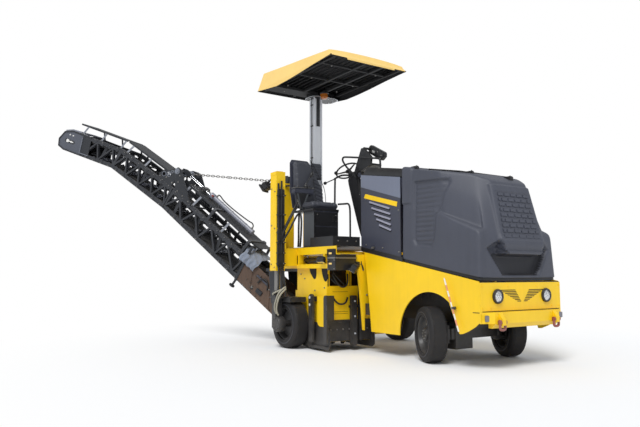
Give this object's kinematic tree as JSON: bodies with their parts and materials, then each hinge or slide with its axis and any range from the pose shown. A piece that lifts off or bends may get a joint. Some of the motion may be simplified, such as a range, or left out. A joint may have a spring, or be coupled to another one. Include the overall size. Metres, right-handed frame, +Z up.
{
  "type": "compact cold planer milling machine on wheels",
  "caption": "Small ride-on cold planer: four solid-rubber wheels, side drum box on lifting legs, tilting hood, canopy and a slewing, folding lattice conveyor.",
  "frame": {"origin": "on the ground, under the middle of the rear axle line, in the centre plane of the front body", "axes": "+X forward towards the hood, +Y to the machine's left, +Z up"},
  "size_m": [7.0194, 3.875, 3.628],
  "materials": {
    "yellow_paint": "semi-gloss yellow paint, lightly dusty",
    "grey_hood": "moulded dark slate-grey plastic with a fine grain",
    "grey_panel": "satin slate-grey paint on folded sheet",
    "black_paint": "satin black paint with worn edges",
    "dark_truss": "satin anthracite paint, dusty",
    "raw_steel": "worn bare steel",
    "chrome": "hard chrome",
    "aluminium": "satin aluminium",
    "cast_iron": "painted iron",
    "tyre_rubber": "solid black rubber, slightly brown with use",
    "belt_rubber": "black conveyor rubber",
    "seat_vinyl": "dark vinyl, piped seams",
    "lamp_glass": "clear lamp lens over a bright reflector",
    "red_paint": "red paint",
    "rod_white": "white paint with red bands"
  },
  "bodies": {
    "machine": {"chassis_frame": "black_paint", "side_skirts": "yellow_paint", "front_panel": "yellow_paint", "headlamps": "lamp_glass", "tow_shackles": "red_paint", "engine_block": "cast_iron", "cowl_panels": "grey_panel", "leg_guides": "yellow_paint", "rear_frame": "yellow_paint", "bulkhead": "yellow_paint", "left_frame": "yellow_paint", "rear_wall": "yellow_paint", "rear_upright": "yellow_paint", "platform_deck": "black_paint", "drum_housing": "yellow_paint", "plate_guides": "black_paint", "conveyor_mast": "yellow_paint", "seat_pedestal": "black_paint", "seat_cushion": "seat_vinyl", "seat_back": "seat_vinyl", "console": "black_paint", "handrails": "black_paint", "canopy_post": "aluminium", "canopy_roof": "yellow_paint", "work_lamps": "black_paint", "sighting_rod": "rod_white"},
    "hood": {"hood_shell": "grey_hood"},
    "steering_wheel": {"steering_wheel": "black_paint"},
    "knuckle_right": {"knuckle_right": "black_paint"},
    "knuckle_left": {"knuckle_left": "black_paint"},
    "front_wheel_right": {"front_tyre_right": "tyre_rubber", "front_rim_right": "black_paint"},
    "front_wheel_left": {"front_tyre_left": "tyre_rubber", "front_rim_left": "black_paint"},
    "leg_right": {"leg_right": "raw_steel"},
    "leg_left": {"leg_left": "raw_steel"},
    "rear_wheel_right": {"rear_tyre_right": "tyre_rubber", "rear_rim_right": "black_paint"},
    "rear_wheel_left": {"rear_tyre_left": "tyre_rubber", "rear_rim_left": "black_paint"},
    "drum": {"milling_drum": "raw_steel"},
    "side_plate_right": {"side_plate_right": "black_paint"},
    "side_plate_left": {"side_plate_left": "black_paint"},
    "scraper": {"scraper": "black_paint"},
    "slew_yoke": {"slew_yoke": "dark_truss"},
    "boom_base": {"base_truss": "dark_truss", "base_housing": "raw_steel", "base_belt": "belt_rubber", "base_cover": "dark_truss", "lift_cylinder": "black_paint", "lift_guides": "chrome"},
    "crosshead": {"crosshead": "black_paint"},
    "boom_head": {"head_truss": "dark_truss", "head_belt": "belt_rubber", "head_cover": "dark_truss"},
    "chain_mast_half": {"chain_mast_half": "raw_steel"},
    "chain_boom_half": {"chain_boom_half": "raw_steel"}
  },
  "joints": [
    {"name": "hood_tilt", "type": "hinge", "parent": "machine", "child": "hood", "pos_m": [2.595, 0, 0.864], "axis": [0, 1, 0], "range_deg": [0, 50]},
    {"name": "steer_right", "type": "hinge", "parent": "machine", "child": "knuckle_right", "pos_m": [1.95, -0.4, 0.285], "axis": [0, 0, 1], "range_deg": [-16, 64]},
    {"name": "steer_left", "type": "hinge", "parent": "machine", "child": "knuckle_left", "pos_m": [1.95, 0.4, 0.285], "axis": [0, 0, 1], "range_deg": [-16, 64]},
    {"name": "steering_wheel_turn", "type": "hinge", "parent": "machine", "child": "steering_wheel", "pos_m": [0.03, -0.21, 2.275], "axis": [-0.5, 0, 0.866], "range_deg": [-144, 536]},
    {"name": "front_spin_right", "type": "hinge", "parent": "knuckle_right", "child": "front_wheel_right", "pos_m": [1.89306, -0.5279, 0.285], "axis": [0.4067, 0.9135, 0], "continuous": true},
    {"name": "front_spin_left", "type": "hinge", "parent": "knuckle_left", "child": "front_wheel_left", "pos_m": [2.00694, 0.5279, 0.285], "axis": [0.4067, 0.9135, 0], "continuous": true},
    {"name": "leg_lift_right", "type": "slide", "parent": "machine", "child": "leg_right", "axis": [0, 0, 1], "range_m": [-0.1, 0.2]},
    {"name": "leg_lift_left", "type": "slide", "parent": "machine", "child": "leg_left", "axis": [0, 0, 1], "range_m": [-0.1, 0.2]},
    {"name": "rear_spin_right", "type": "hinge", "parent": "leg_right", "child": "rear_wheel_right", "pos_m": [0, -1.08, 0.295], "axis": [0, 1, 0], "continuous": true},
    {"name": "rear_spin_left", "type": "hinge", "parent": "leg_left", "child": "rear_wheel_left", "pos_m": [0, 0.66, 0.295], "axis": [0, 1, 0], "continuous": true},
    {"name": "drum_spin", "type": "hinge", "parent": "machine", "child": "drum", "pos_m": [0.27, -0.6275, 0.335], "axis": [0, 1, 0], "continuous": true},
    {"name": "side_plate_lift_right", "type": "slide", "parent": "machine", "child": "side_plate_right", "axis": [0, 0, 1], "range_m": [0, 0.15]},
    {"name": "side_plate_lift_left", "type": "slide", "parent": "machine", "child": "side_plate_left", "axis": [0, 0, 1], "range_m": [0, 0.15]},
    {"name": "scraper_lift", "type": "slide", "parent": "machine", "child": "scraper", "axis": [0, 0, 1], "range_m": [0, 0.15]},
    {"name": "conveyor_slew", "type": "hinge", "parent": "machine", "child": "slew_yoke", "pos_m": [-0.75, -0.7, 0.5], "axis": [0, 0, 1], "range_deg": [-78, 12]},
    {"name": "conveyor_luff", "type": "hinge", "parent": "slew_yoke", "child": "boom_base", "pos_m": [-0.75, -0.7, 0.55], "axis": [-0.5446, 0.8387, 0], "range_deg": [-15, 5]},
    {"name": "conveyor_fold", "type": "hinge", "parent": "boom_base", "child": "boom_head", "pos_m": [-2.14219, -1.6041, 2.4], "axis": [-0.5446, 0.8387, 0], "range_deg": [0, 90]},
    {"name": "crosshead_slide", "type": "slide", "parent": "boom_base", "child": "crosshead", "axis": [-0.6505, -0.4224, 0.6313], "range_m": [-0.1, 0.25]},
    {"name": "chain_mast_swing", "type": "hinge", "parent": "slew_yoke", "child": "chain_mast_half", "pos_m": [-0.90935, -0.80348, 2.2], "axis": [-0.5446, 0.8387, 0], "range_deg": [-20, 10]},
    {"name": "chain_boom_swing", "type": "hinge", "parent": "boom_base", "child": "chain_boom_half", "pos_m": [-2.14219, -1.6041, 2.4], "axis": [-0.5446, 0.8387, 0], "range_deg": [-10, 10]}
  ],
  "couplings": [
    {"joint": "steer_left", "follows": "steer_right", "ratio": 1},
    {"joint": "steering_wheel_turn", "follows": "steer_right", "ratio": 8},
    {"joint": "crosshead_slide", "follows": "conveyor_luff", "m_per_rad": -0.8},
    {"joint": "chain_mast_swing", "follows": "conveyor_luff", "ratio": 1.15},
    {"joint": "chain_boom_swing", "follows": "conveyor_luff", "ratio": 0.15}
  ]
}
